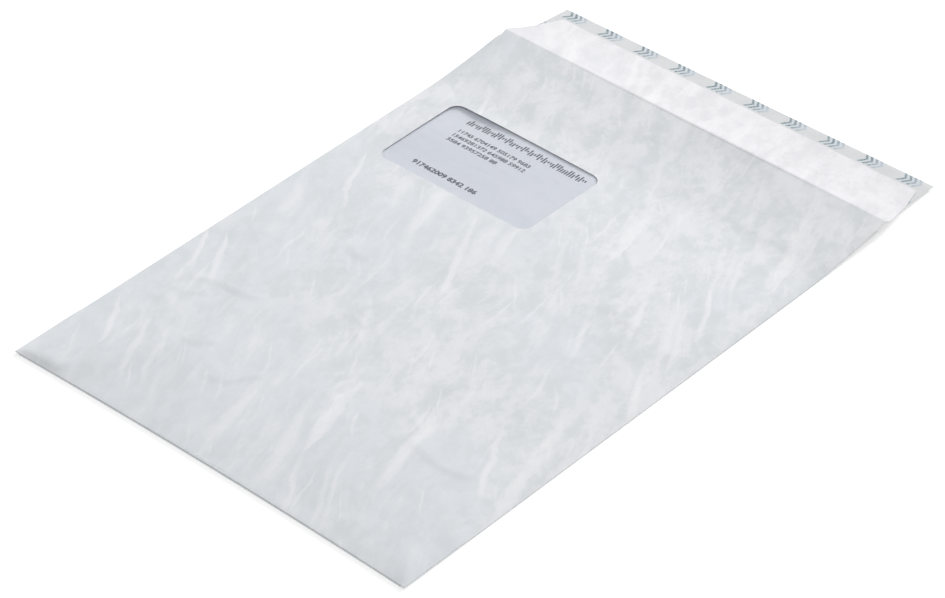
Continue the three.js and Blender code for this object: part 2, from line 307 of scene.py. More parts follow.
# A closed thin solid between two grids of points, rows along the length and columns across
def thinSolid(name, upper, lower, flat, keep=None, slots=None):
    rows, columns = upper.shape[:2]
    cells = (rows - 1, columns - 1)
    keep = np.ones(cells, bool) if keep is None else keep
    index = np.arange(rows * columns).reshape(rows, columns)
    quads = np.stack([index[:-1, :-1], index[:-1, 1:], index[1:, 1:], index[1:, :-1]], -1)[keep]
    total = rows * columns
    slots = (np.zeros(cells, int) if slots is None else slots)[keep].tolist()
    edges = {}
    for quad, slot in zip(quads.tolist(), slots):
        edges.update({(a, b): slot for a, b in zip(quad, quad[1:] + quad[:1])})
    rim = [(a, b) for a, b in edges if (b, a) not in edges]
    faces = quads.tolist() + (quads[:, ::-1] + total).tolist()
    faces += [[b, a, a + total, b + total] for a, b in rim]
    points = np.concatenate([upper.reshape(-1, 3), lower.reshape(-1, 3)])
    places = np.pad(np.concatenate([flat.reshape(-1, 2)] * 2), ((0, 0), (0, 1)))
    used, faces = np.unique(np.array(faces), return_inverse=True)
    faces = faces.reshape(-1, 4)
    piece = newPiece(name, points[used], faces.tolist(), places[used])
    mesh = piece.data
    mesh.polygons.foreach_set("material_index", slots * 2 + [edges[pair] for pair in rim])
    mesh.polygons.foreach_set("use_smooth", [True] * len(faces))
    mesh.update()
    mesh.set_sharp_from_angle(angle=sharpFrom)
    return piece


# Two faces of a sheet over a grid of x and y: level(x, y, depth) is the height at that depth
def plate(name, x, y, level, thickness, keep=None):
    upper, lower = (np.stack([x, y, level(x, y, depth)], -1) for depth in (0, thickness))
    return thinSolid(name, upper, lower, np.stack([x, y], -1), keep)


def finishPiece(piece, slot, body, *materials):
    if body:
        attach(piece, body)
    for material in materials:
        piece.data.materials.append(material)
    return piece


# Window cut-out, found from its film
window = {"filmMargin": 9 * mm, "radius": 5.5 * mm, "clear": 8 * mm}
windowLeft = filmLow.x + window["filmMargin"]
windowRight = filmHigh.x - window["filmMargin"]
windowBottom = filmLow.y + window["filmMargin"]
windowTop = filmHigh.y - window["filmMargin"]


# How far points lie outside the rounded window grown by a margin, and their nearest points on it
def windowOutline(x, y, margin):
    radius = window["radius"] + margin
    midX, midY = (windowLeft + windowRight) / 2, (windowBottom + windowTop) / 2
    boxX = (windowRight - windowLeft) / 2 - window["radius"]
    boxY = (windowTop - windowBottom) / 2 - window["radius"]
    dx, dy = x - midX, y - midY
    coreX, coreY = np.clip(dx, -boxX, boxX), np.clip(dy, -boxY, boxY)
    inCore = (np.abs(dx) < boxX) & (np.abs(dy) < boxY)
    toSide = boxX - np.abs(dx) < boxY - np.abs(dy)
    coreX = np.where(inCore & toSide, np.sign(dx) * boxX, coreX)
    coreY = np.where(inCore & ~toSide, np.sign(dy) * boxY, coreY)
    offX, offY = dx - coreX, dy - coreY
    length = np.maximum(np.hypot(offX, offY), 1e-9)
    distance = np.where(inCore, -length - radius, length - radius)
    return distance, midX + coreX + offX / length * radius, midY + coreY + offY / length * radius


# Cuts the window out of a grid: kept cells, and the grid with its cut edge drawn onto the outline
def cutWindow(x, y, margin=0.0):
    nearX, nearY = windowOutline(x, y, margin)[1:]
    middles = [(grid[:-1, :-1] + grid[1:, 1:]) / 2 for grid in (x, y)]
    keep = windowOutline(*middles, margin)[0] > 0
    besideCut, besideKept = np.zeros(x.shape, bool), np.zeros(x.shape, bool)
    for down in (0, 1):
        for over in (0, 1):
            part = (slice(down, down + keep.shape[0]), slice(over, over + keep.shape[1]))
            besideCut[part] |= ~keep
            besideKept[part] |= keep
    edge = besideCut & besideKept
    return keep, np.where(edge, nearX, x), np.where(edge, nearY, y)


# Node helpers
def addNode(tree, kind, values=None, **settings):
    node = tree.nodes.new(kind)
    for key, value in settings.items():
        setattr(node, key, value)
    for key, value in (values or {}).items():
        node.inputs[key].default_value = value
    return node


def feed(tree, socket, value):
    if hasattr(value, "is_linked"):
        tree.links.new(value, socket)
    else:
        socket.default_value = value


def calc(tree, operation, a, b=0.0):
    node = addNode(tree, "ShaderNodeMath", operation=operation)
    feed(tree, node.inputs[0], a)
    feed(tree, node.inputs[1], b)
    return node.outputs[0]


def calcVector(tree, operation, a, b):
    node = addNode(tree, "ShaderNodeVectorMath", operation=operation)
    feed(tree, node.inputs[0], a)
    feed(tree, node.inputs["Scale" if operation == "SCALE" else 1], b)
    return node.outputs[0]


def ramp(tree, source, low, high, toLow=0.0, toHigh=1.0):
    node = addNode(tree, "ShaderNodeMapRange", interpolation_type="SMOOTHSTEP")
    for label, value in (("Value", source), ("From Min", low), ("From Max", high), ("To Min", toLow),
                         ("To Max", toHigh)):
        feed(tree, node.inputs[label], value)
    return node.outputs["Result"]


def mixColour(tree, factor, a, b):
    mix = addNode(tree, "ShaderNodeMix", data_type="RGBA")
    for socket, value in ((mix.inputs["Factor"], factor), (mix.inputs[6], a), (mix.inputs[7], b)):
        feed(tree, socket, value)
    return mix.outputs[2]


def newGroup(name, inputs, outputs):
    tree = bpy.data.node_groups.new(name, "ShaderNodeTree")
    for label, value in inputs.items():
        kind = "NodeSocketVector" if value is None else "NodeSocketFloat"
        socket = tree.interface.new_socket(label, in_out="INPUT", socket_type=kind)
        if value is not None:
            socket.default_value = value
    for label in outputs:
        tree.interface.new_socket(label, in_out="OUTPUT", socket_type="NodeSocketFloat")
    return tree, tree.nodes.new("NodeGroupInput").outputs, tree.nodes.new("NodeGroupOutput").inputs


def placeGroup(tree, group, place, values=None):
    node = addNode(tree, "ShaderNodeGroup", values, node_tree=group)
    tree.links.new(place, node.inputs["Place"])
    return node.outputs


# Noise drawn out along Y, width and length in millimetres
def streakNoise(tree, place, width, length, offset, detail=3.0, roughness=0.55):
    stretch = addNode(tree, "ShaderNodeMapping", {"Scale": (1 / width, 1 / length, 1 / width),
                                                  "Location": (offset, offset * 0.7, offset * 1.3)})
    noise = addNode(tree, "ShaderNodeTexNoise", {"Scale": 1.0, "Detail": detail, "Roughness": roughness})
    tree.links.new(place, stretch.inputs["Vector"])
    tree.links.new(stretch.outputs["Vector"], noise.inputs["Vector"])
    return noise.outputs[0]


def turn(tree, place, degrees):
    node = addNode(tree, "ShaderNodeVectorRotate", rotation_type="Z_AXIS")
    feed(tree, node.inputs["Vector"], place)
    feed(tree, node.inputs["Angle"], calc(tree, "RADIANS", degrees))
    return node.outputs[0]


# Place on the sheet in millimetres, drifting so that what runs along it bends and wanders
def drifted(tree, place, drift, seed):
    inMillimetres = calcVector(tree, "SCALE", place, 1 / mm)
    layer = addNode(tree, "ShaderNodeCombineXYZ")
    feed(tree, layer.inputs["Z"], seed)
    layered = calcVector(tree, "ADD", inMillimetres, layer.outputs[0])
    noise = addNode(tree, "ShaderNodeTexNoise", {"Scale": 0.02, "Detail": 2.0, "Roughness": 0.55})
    tree.links.new(layered, noise.inputs["Vector"])
    centred = calcVector(tree, "SUBTRACT", noise.outputs["Color"], (0.5, 0.5, 0.5))
    return calcVector(tree, "ADD", layered, calcVector(tree, "SCALE", centred, drift))


# Spunbonded fibres: long light strokes, thin wisps, torn flakes between them, single fibres on top
swirlSizes = {
    # Width and length in millimetres, shift, detail, roughness
    "fibres": (0.45, 7.0, 17.0, 3.0, 0.6), "haze": (9.0, 40, 27.0, 4.0, 0.6),
    "clouds": (17, 24, 7.0, 5.0, 0.6), "patches": (55, 70, 41.0, 2.0, 0.5),
    # Turn in degrees, width, length, fraying, shift, share of the sheet, softness of the edge
    "broad": ((2.0, 10.0, 92, 4.0, 3.3, 0.15, 0.40), (-9.0, 5.0, 64, 2.5, 7.9, 0.10, 0.40)),
    "wisps": ((7.0, 2.6, 38, 1.8, 1.7, 0.08, 0.35), (-16.0, 2.2, 24, 1.5, 5.1, 0.07, 0.35)),
    # Turn, width, shift, share
    "flakes": ((8.0, 14.0, 2.2, 0.45), (-22.0, 7.0, 6.6, 0.35), (40.0, 3.2, 9.1, 0.2)),
    "flakeLength": 1.7,         # times their width
    "flakeDetail": (4.0, 0.62), "flakeEdge": (0.43, 0.57), "hazeEdge": (0.48, 0.78),
}


def makeFibreSwirls():
    tree, given, made = newGroup(
        "fibreSwirls", {"Place": None, "Lean": 14.0, "Drift": 9.0, "Seed": 0.0},
        ("Strokes", "Wisps", "Haze", "Flakes", "Clouds", "Patches", "Fibres"))
    place = drifted(tree, given["Place"], given["Drift"], given["Seed"])
    along = turn(tree, place, calc(tree, "MULTIPLY", given["Lean"], -1.0))
    fibres = streakNoise(tree, along, *swirlSizes["fibres"])
    ragged = addNode(tree, "ShaderNodeTexNoise", {"Scale": 0.16, "Detail": 4.0, "Roughness": 0.6})
    tree.links.new(along, ragged.inputs["Vector"])
    offset = calcVector(tree, "SUBTRACT", ragged.outputs["Color"], (0.5, 0.5, 0.5))

    def cells(source, width, length, jitter, shift):
        torn = calcVector(tree, "ADD", source, calcVector(tree, "SCALE", offset, jitter))
        stretch = addNode(tree, "ShaderNodeMapping", {"Scale": (1 / width, 1 / length, 1.0),
                                                      "Location": (shift, shift * 0.6, 0.0)})
        tree.links.new(torn, stretch.inputs["Vector"])
        voronoi = addNode(tree, "ShaderNodeTexVoronoi", {"Scale": 1.0}, voronoi_dimensions="2D")
        tree.links.new(stretch.outputs["Vector"], voronoi.inputs["Vector"])
        parts = addNode(tree, "ShaderNodeSeparateColor")
        tree.links.new(voronoi.outputs["Color"], parts.inputs[0])
        return voronoi.outputs["Distance"], parts.outputs[0], parts.outputs[1]

    def strokes(degrees, width, length, jitter, shift, share, crisp):
        distance, chance, weight = cells(turn(tree, along, degrees), width, length, jitter, shift)
        fray = calc(tree, "MULTIPLY", calc(tree, "SUBTRACT", fibres, 0.5), 0.35)
        body = ramp(tree, calc(tree, "ADD", distance, fray), 0.5, 0.5 - crisp)
        chosen = calc(tree, "GREATER_THAN", chance, 1 - share)
        strength = ramp(tree, weight, 0.0, 1.0, 0.35, 1.0)
        return calc(tree, "MULTIPLY", calc(tree, "MULTIPLY", body, chosen), strength)

    broad, wisps = (calc(tree, "MAXIMUM", *[strokes(*row) for row in swirlSizes[key]])
                    for key in ("broad", "wisps"))
    haze = ramp(tree, streakNoise(tree, along, *swirlSizes["haze"]), *swirlSizes["hazeEdge"])
    flakes = 0.0
    for degrees, width, shift, share in swirlSizes["flakes"]:
        torn = streakNoise(tree, turn(tree, along, degrees), width, swirlSizes["flakeLength"] * width, shift,
                           *swirlSizes["flakeDetail"])
        torn = ramp(tree, torn, *swirlSizes["flakeEdge"])
        flakes = calc(tree, "ADD", calc(tree, "MULTIPLY", torn, share), flakes)
    for label, value in (
            ("Strokes", broad), ("Wisps", wisps), ("Haze", haze), ("Flakes", flakes), ("Fibres", fibres),
            ("Clouds", streakNoise(tree, along, *swirlSizes["clouds"])),
            ("Patches", streakNoise(tree, along, *swirlSizes["patches"]))):
        tree.links.new(value, made[label])
    return tree


fibreSwirls = makeFibreSwirls()


def newMaterial(name, roughness=0.5, specular=0.3):
    material = bpy.data.materials.new(name)
    material.use_nodes = True
    shader = material.node_tree.nodes["Principled BSDF"]
    shader.inputs["Roughness"].default_value = roughness
    shader.inputs["Specular IOR Level"].default_value = specular
    return material, material.node_tree, shader.inputs


# Colours are written as they look on screen
def screenColour(red, green, blue):
    def linear(value):
        value /= 255
        return value / 12.92 if value <= 0.04045 else ((value + 0.055) / 1.055) ** 2.4
    return (linear(red), linear(green), linear(blue), 1.0)


def sheetPlace(tree):
    return addNode(tree, "ShaderNodeAttribute", attribute_name="flatPlace").outputs["Vector"]


def sheetMillimetres(tree):
    return calcVector(tree, "SCALE", sheetPlace(tree), 1 / mm)


# Roughness between two values, led by a pattern
def roughen(tree, sockets, pattern, low, high):
    feed(tree, sockets["Roughness"], ramp(tree, pattern, 0.3, 0.7, low, high))


def addBump(tree, sockets, height, strength, distance):
    bump = addNode(tree, "ShaderNodeBump", {"Strength": strength, "Distance": distance})
    tree.links.new(height, bump.inputs["Height"])
    tree.links.new(bump.outputs["Normal"], sockets["Normal"])


def spunbondedMaterial(name, look):
    material, tree, sockets = newMaterial(name)
    lay = {key: look[key] for key in ("Lean", "Drift", "Seed")}
    swirls = placeGroup(tree, fibreSwirls, sheetPlace(tree), lay)
    mottle = calc(tree, "ADD", calc(tree, "MULTIPLY", swirls["Clouds"], look["cloudShare"]),
                  calc(tree, "MULTIPLY", swirls["Flakes"], 1 - look["cloudShare"]))
    colour = mixColour(tree, ramp(tree, mottle, *look["mottleEdge"]), look["dark"], look["plain"])
    # Partly painted shade and light: the tint gains across the sheet towards the lower left, darkening it there
    # and leaving the rise to the crease lighter.
    fall = addNode(tree, "ShaderNodeVectorMath", {1: look["tintFall"]}, operation="DOT_PRODUCT")
    tree.links.new(sheetPlace(tree), fall.inputs[0])
    patch = calc(tree, "ADD", swirls["Patches"], fall.outputs["Value"])
    tint = calc(tree, "MULTIPLY", ramp(tree, patch, *look["patchEdge"]), look["tintShare"])
    colour = mixColour(tree, tint, colour, look["tint"])
    for label in ("Haze", "Strokes", "Wisps"):
        share = calc(tree, "MULTIPLY", swirls[label], look[label])
        colour = mixColour(tree, share, colour, look["light"])
    grain = calc(tree, "MULTIPLY", ramp(tree, swirls["Fibres"], *look["grainEdge"]), look["grain"])
    colour = mixColour(tree, grain, colour, look["dark"])
    tree.links.new(colour, sockets["Base Color"])
    roughen(tree, sockets, swirls["Fibres"], *look["roughness"])
    height = calc(tree, "MULTIPLY", mottle, look["cockle"])
    for label, share in look["raised"].items():
        height = calc(tree, "ADD", height, calc(tree, "MULTIPLY", swirls[label], share))
    addBump(tree, sockets, height, look["bump"], look["bumpDepth"])
    return material


panelLook = {
    "dark": screenColour(212, 216, 219), "plain": screenColour(227, 228, 231.5),
    "light": screenColour(244, 242, 245), "tint": screenColour(214.5, 220, 224),
    "cloudShare": 0.65, "Haze": 0.4, "Strokes": 0.5, "Wisps": 0.3, "tintShare": 0.55, "grain": 0.15,
    "tintFall": (-0.6, -1.0, 0.0),      # per metre: the darker, greener tint gains towards the lower left; partly the sheet's own tint, partly painted shade and light, darker to the lower left and lighter up the rise to the crease
    "Lean": 20.0, "Drift": 14.0, "Seed": 2.0,
    "mottleEdge": (0.28, 0.70), "patchEdge": (0.38, 0.68), "grainEdge": (0.25, 0.75),
    "roughness": (0.5, 0.7), "bump": 0.25, "bumpDepth": 0.15 * mm, "cockle": 1.2,
    "raised": {"Strokes": 0.5, "Wisps": 0.3, "Fibres": 0.2},
}
# The flap is the same sheet as the panel. Its copy of the finish is painted darker: a painted shade that holds
# back the extra light the flap catches from the lamp.
flapShadedLook = dict(panelLook, dark=screenColour(212, 212, 215.5), plain=screenColour(224, 223, 226.5),
                light=screenColour(234, 232, 234.5), tint=screenColour(218, 219, 223.5), Wisps=0.25, bump=0.15)
panelFinish = spunbondedMaterial("spunbondedSheet", panelLook)
flapShadedFinish = spunbondedMaterial("spunbondedFlap", flapShadedLook)


# Paper with a faint cloudy look-through and fine fibres
paperGrain = {
    "cloud": (5.0, 4.0, 0.6), "cloudShare": 0.6,        # shift, detail, roughness
    "fibreTurn": 74.0, "fibre": (0.3, 1.6, 13.0, 2.0, 0.5), "fibreShare": 0.4,
    "edge": (0.35, 0.65), "bumpDepth": 0.03 * mm,
}


def paperMaterial(name, look):
    material, tree, sockets = newMaterial(name, specular=look["specular"])
    place = sheetMillimetres(tree)
    cloud = streakNoise(tree, place, look["cloud"], look["cloud"], *paperGrain["cloud"])
    fibre = streakNoise(tree, turn(tree, place, paperGrain["fibreTurn"]), *paperGrain["fibre"])
    shade = calc(tree, "ADD", calc(tree, "MULTIPLY", cloud, paperGrain["cloudShare"]),
                 calc(tree, "MULTIPLY", fibre, paperGrain["fibreShare"]))
    colour = mixColour(tree, ramp(tree, shade, *paperGrain["edge"]), look["dark"], look["light"])
    tree.links.new(colour, sockets["Base Color"])
    roughen(tree, sockets, fibre, *look["roughness"])
    addBump(tree, sockets, fibre, look["bump"], paperGrain["bumpDepth"])
    return material, tree, sockets, place, colour


letterLook = {
    "dark": screenColour(225, 227, 231), "light": screenColour(229, 231, 235), "cloud": 3.0,
    "roughness": (0.55, 0.7), "specular": 0.3, "bump": 0.2,
}
letterPaper = paperMaterial("letterPaper", letterLook)[0]

# Ink of the digits and bars, a little uneven as from an office printer
inkLook = {"dark": screenColour(30, 33, 42), "light": screenColour(42, 46, 56)}


def inkMaterial():
    material, tree, sockets = newMaterial("printerInk", 0.55)
    place = sheetMillimetres(tree)
    speckle = streakNoise(tree, place, 0.35, 0.35, 2.0)
    tree.links.new(mixColour(tree, ramp(tree, speckle, 0.35, 0.65), inkLook["dark"], inkLook["light"]),
                   sockets["Base Color"])
    return material


ink = inkMaterial()

# Release liner: coated pale paper with groups of slanted strokes that turn in the middle
linerLook = {
    "dark": screenColour(197, 198, 199), "light": screenColour(204, 205, 206), "cloud": 5.0,
    "roughness": (0.32, 0.45), "specular": 0.5, "bump": 0.15,
    "pitch": 22.7, "rowPitch": 18.0, "rowStart": 3.6, "rowShift": 11.0,
    "strokePitch": 2.8, "strokeShare": 0.5, "strokeLean": 0.62,
    "groupHalf": 5.6, "rowHalf": 4.0, "strokeEdge": 0.09, "groupEdge": 0.1,
    "wear": (0.32, 0.6, 0.35, 1.0), "fading": (-2.0, 4.5, 1.0, 0.3), "blueing": (-5.0, 5.0),
    "glowAlong": (6.4, 4.0), "glowAcross": (4.6, 3.0), "glowShare": 0.7,
    "teal": screenColour(100, 118, 124), "blue": screenColour(116, 126, 144),
    "glow": screenColour(191, 201, 207),
}


def linerMaterial():
    look = linerLook
    material, tree, sockets, place, colour = paperMaterial("coatedLiner", look)
    parts = addNode(tree, "ShaderNodeSeparateXYZ")
    tree.links.new(place, parts.inputs[0])
    farEdge = (hingeY + flapSizes["linerReach"]) / mm
    inward = calc(tree, "SUBTRACT", farEdge + look["rowPitch"] / 2 - look["rowStart"], parts.outputs["Y"])
    row = calc(tree, "FLOOR", calc(tree, "DIVIDE", inward, look["rowPitch"]))
    across = calc(tree, "SUBTRACT", calc(tree, "WRAP", inward, look["rowPitch"]), look["rowPitch"] / 2)
    shift = calc(tree, "MULTIPLY", row, look["rowShift"])
    along = calc(tree, "ADD", parts.outputs["X"], shift)
    along = calc(tree, "SUBTRACT", calc(tree, "WRAP", along, look["pitch"]), look["pitch"] / 2)
    bent = calc(tree, "MULTIPLY", calc(tree, "ABSOLUTE", across), look["strokeLean"])
    slanted = calc(tree, "ADD", along, bent)
    stroke = calc(tree, "FRACT", calc(tree, "DIVIDE", slanted, look["strokePitch"]))
    stroke = ramp(tree, calc(tree, "ABSOLUTE", calc(tree, "SUBTRACT", stroke, 0.5)),
                  look["strokeShare"] / 2 + look["strokeEdge"], look["strokeShare"] / 2 - look["strokeEdge"])
    inGroup, inRow = (
        ramp(tree, calc(tree, "ABSOLUTE", way), look[half] + look["groupEdge"], look[half] - look["groupEdge"])
        for way, half in ((slanted, "groupHalf"), (across, "rowHalf")))
    wear = ramp(tree, streakNoise(tree, place, 0.8, 0.8, 19.0), *look["wear"])
    fading = ramp(tree, along, *look["fading"])
    mark = calc(tree, "MULTIPLY", calc(tree, "MULTIPLY", stroke, inGroup), inRow)
    mark = calc(tree, "MULTIPLY", calc(tree, "MULTIPLY", mark, wear), fading)
    glow = calc(tree, "MULTIPLY", ramp(tree, calc(tree, "ABSOLUTE", slanted), *look["glowAlong"]),
                ramp(tree, calc(tree, "ABSOLUTE", across), *look["glowAcross"]))
    colour = mixColour(tree, calc(tree, "MULTIPLY", glow, look["glowShare"]), colour, look["glow"])
    inkColour = mixColour(tree, ramp(tree, along, *look["blueing"]), look["teal"], look["blue"])
    tree.links.new(mixColour(tree, mark, colour, inkColour), sockets["Base Color"])
    return material


# Clear film: a thin bluish skin with a faint draw in one direction
filmLook = {
    "dark": screenColour(192, 199, 216), "light": screenColour(196, 203, 219),
    "alpha": (0.11, 0.14), "edgeAlpha": 0.4, "edgeFrom": 0.45, "facing": 0.35,
    "roughness": (0.10, 0.2), "draw": (14, 90, 4.0, 2.0), "bump": 0.1, "bumpDepth": 0.05 * mm,
}


def filmMaterial():
    material, tree, sockets = newMaterial("clearFilm", specular=0.5)
    place = sheetMillimetres(tree)
    draw = streakNoise(tree, turn(tree, place, 90.0), *filmLook["draw"])
    tree.links.new(mixColour(tree, draw, filmLook["dark"], filmLook["light"]), sockets["Base Color"])
    roughen(tree, sockets, draw, *filmLook["roughness"])
    facing = addNode(tree, "ShaderNodeLayerWeight", {"Blend": filmLook["facing"]}).outputs["Facing"]
    body = ramp(tree, draw, 0.3, 0.7, *filmLook["alpha"])
    feed(tree, sockets["Alpha"], ramp(tree, facing, filmLook["edgeFrom"], 1.0, body, filmLook["edgeAlpha"]))
    addBump(tree, sockets, draw, filmLook["bump"], filmLook["bumpDepth"])
    return material


# Glue: milky, a little lumpy, with small blisters
glueGrain = {
    "lumps": (1.6, 3.4, 9.0), "blisterScale": 0.9, "blister": (0.16, 0.06), "blisterShare": 0.5,
    "roughness": (0.25, 0.45), "bump": 0.4, "bumpDepth": 0.06 * mm,
}


def glueMaterial(name, look):
    material, tree, sockets = newMaterial(name, specular=0.5)
    place = calcVector(tree, "SCALE", look["place"](tree), 1 / mm)
    lumps = streakNoise(tree, place, *glueGrain["lumps"])
    blister = addNode(tree, "ShaderNodeTexVoronoi", {"Scale": glueGrain["blisterScale"]})
    tree.links.new(place, blister.inputs["Vector"])
    dots = ramp(tree, blister.outputs["Distance"], *glueGrain["blister"])
    colour = mixColour(tree, ramp(tree, lumps, 0.35, 0.65), look["dark"], look["light"])
    dotted = mixColour(tree, calc(tree, "MULTIPLY", dots, glueGrain["blisterShare"]), colour, look["dark"])
    tree.links.new(dotted, sockets["Base Color"])
    roughen(tree, sockets, lumps, *glueGrain["roughness"])
    addBump(tree, sockets, calc(tree, "SUBTRACT", lumps, dots), glueGrain["bump"], glueGrain["bumpDepth"])
    return material


def objectPlace(tree):
    return addNode(tree, "ShaderNodeTexCoord").outputs["Object"]


glueLook = {"dark": screenColour(216, 216, 208), "light": screenColour(232, 231, 224), "place": objectPlace}
adhesiveLook = {"dark": screenColour(214, 206, 186), "light": screenColour(229, 223, 206),
                "place": sheetPlace}
seamGlue = glueMaterial("whiteGlue", glueLook)
sealGlue = glueMaterial("sealAdhesive", adhesiveLook)
clearFilm = filmMaterial()
print("finishes are made")

# Flap: its plane, the taper of its sides and the light curl of its free corner
flapSizes = {
    "depth": 30.5 * mm,
    "linerReach": 40.1 * mm,
    "linerWidth": 26.3 * mm,
    "angle": 7.141,             # degrees below level
    "farSlant": 1.5 * mm,       # the flap is a little longer at its right end
    # Side edges in millimetres: distance from the crease, place across
    "leftEdge": ((0, -114.5), (2.6, -113.6), (6.7, -111.1), (12.5, -108.5), (17.8, -106.5),
                 (23.6, -104.5), (33, -101.4)),
    "rightEdge": ((0, 114.5), (1.2, 115.0), (2.8, 114.8), (7.5, 114.1), (14.5, 112.7), (20.5, 111.2),
                  (26.6, 109.3), (34, 107.0)),
    "cornerRadius": 1.2 * mm,
    "creaseRun": 0.5 * mm,
    "curl": 0.7 * mm,           # the right far corner stands up
    "bow": -0.3 * mm,           # and the middle sags
    "adhesiveNear": 17 * mm, "adhesiveFar": 28 * mm, "adhesiveHalf": 97.7 * mm,
    "adhesiveThickness": 0.1 * mm, "adhesiveCells": (60, 7),
    "linerThickness": 0.12 * mm, "linerCells": (111, 15),
    "linerSkew": 0.0135,        # the liner is stuck on a little askew
    "linerShift": 1.4 * mm,
}
flapAngle = math.radians(flapSizes["angle"])
flapOffset = creaseZ - hingeZ


# Points of the flap's stack: x across, s from the crease, depth below the flap's outer face
def flapPoint(x, s, depth):
    share = np.clip(s / flapSizes["linerReach"], 0, 1)
    right = np.clip((x + halfWidth) / (2 * halfWidth), 0, 1)
    lift = flapSizes["curl"] * right ** 1.5 * share ** 2 + flapSizes["bow"] * np.sin(math.pi * share)
    out = flapOffset - depth + lift
    y = hingeY + s * math.cos(flapAngle) + out * math.sin(flapAngle)
    z = hingeZ - s * math.sin(flapAngle) + out * math.cos(flapAngle)
    return np.stack([x + 0 * y, y, z], -1)


# Place on the flap of a share -1..1 across and a share 0..1 from crease to far edge
def flapPlace(across, t):
    far = flapSizes["depth"] + flapSizes["farSlant"] * across
    s = t * far
    radius = flapSizes["cornerRadius"]
    into = np.clip(s - (far - radius), 0, radius)
    trim = radius - np.sqrt(radius ** 2 - into ** 2)
    left, right = (np.interp(s, *(np.array(flapSizes[key]) * mm).T) for key in ("leftEdge", "rightEdge"))
    left, right = left + trim, right - trim
    return left + (right - left) * (across + 1) / 2, s


# Cells of the front, finer round the window, up to the mouth and at the flap's edges
frontCells = {
    "coarse": 1.9 * mm, "fine": 1.0 * mm, "mouthRun": 3 * mm, "mouth": 0.24 * mm, "mouthGap": 0.1 * mm,
    "crease": 0.1 * mm, "flapRun": 3.5 * mm, "flap": 0.3 * mm,
    "farRun": 3 * mm, "far": 0.4 * mm, "last": 0.1 * mm,
}


# Front of the sheet: side and bottom folds, bulged face with the window, crease and seal flap
def makeFrontSheet():
    step, fine, far = (frontCells[key] for key in ("coarse", "fine", "far"))
    clear = window["clear"]
    xs = spread(-flatX, (windowLeft - clear, step), (windowLeft, fine), (windowRight, fine),
                (windowRight + clear, fine), (flatX, step))
    ys = spread(flatY, (windowBottom - clear, step), (windowBottom, fine), (windowTop, fine),
                (windowTop + clear, fine), (mouthY - frontCells["mouthRun"], step),
                (mouthY - frontCells["mouthGap"], frontCells["mouth"]))
    colBase, colOut, colUp = foldRun(-flatX, xs)
    colBase = np.concatenate([colBase, np.full(len(foldAngles), flatX)])
    colOut = np.concatenate([-colOut, np.cos(foldAngles)[::-1]])
    colUp = np.concatenate([colUp, np.sin(foldAngles)[::-1]])
    rowBase, rowOut, rowUp = (part[:, None] for part in foldRun(flatY, ys))
    keep, gridX, gridY = cutWindow(*np.broadcast_arrays(colBase[None, :], rowBase))

    throat = hingeY - backSizes["throatDepth"]
    single = smooth((gridY - throat) / backSizes["notchRise"])
    notch = single * np.clip((hingeY - gridY) / (backSizes["throatDepth"] - backSizes["notchRise"]), 0, 1)

    def bodyFace(depth):
        half = openFold(gridY)
        x = gridX + (foldRadius - depth) * colOut
        x = x * (1 - notch * backSizes["notch"] / halfWidth * np.abs(x / halfWidth) ** backSizes["notchSquare"])
        y = gridY - (foldRadius - depth) * rowOut
        droop = 1 - (1 - colUp) * (1 - backSizes["notchDroop"] * single)
        z = frontLevel(gridX, gridY, 0) - half + (half - depth) * droop * rowUp
        return pullIn(np.stack([x, y, z], -1))

    run = flapSizes["creaseRun"]
    creaseStops = spread(0, (run, frontCells["crease"]))[1:] / run
    end = flapSizes["depth"]
    flapStops = spread(run, (frontCells["flapRun"], frontCells["flap"]), (end - frontCells["farRun"], step),
                       (end - far, far), (end, frontCells["last"]))[1:] / end
    across = (colBase + foldRadius * colOut) / halfWidth

    def flapFace(depth, lastRow):
        landing = flapPoint(*flapPlace(across, run / end), depth)
        corner = (lastRow + landing) / 2
        corner[:, 1] = hingeY
        corner[:, 2] = lastRow[:, 2] + riseSlope * (hingeY - lastRow[:, 1])
        corner[:, 2] = np.minimum(corner[:, 2], creaseZ - depth)
        rows = [(1 - t) ** 2 * lastRow + 2 * t * (1 - t) * corner + t ** 2 * landing for t in creaseStops]
        rows += [flapPoint(*flapPlace(across, t), depth) for t in flapStops]
        return np.stack(rows)

    faces = []
    for depth in (0.0, lie["thickness"]):
        body = bodyFace(depth)
        faces.append(np.concatenate([body, flapFace(depth, body[-1])]))
    rows, columns = faces[0].shape[:2]
    bodyRows = keep.shape[0]
    keep = np.concatenate([keep, np.ones((rows - 1 - bodyRows, columns - 1), bool)])
    slots = np.zeros(keep.shape, int)
    # The flap rows take the flap's darker copy of the finish, whose colour is a painted shade.
    slots[bodyRows + len(creaseStops) // 2:] = 1
    return thinSolid("frontSheet", *faces, faces[0][..., :2], keep, slots)


frontSheet = finishPiece(makeFrontSheet(), "panel_sheet", None, panelFinish, flapShadedFinish)
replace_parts(frontSheet, "front_panel", "seal_flap")
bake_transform(frontSheet)
print("front sheet with window and flap:", len(frontSheet.data.polygons), "faces")


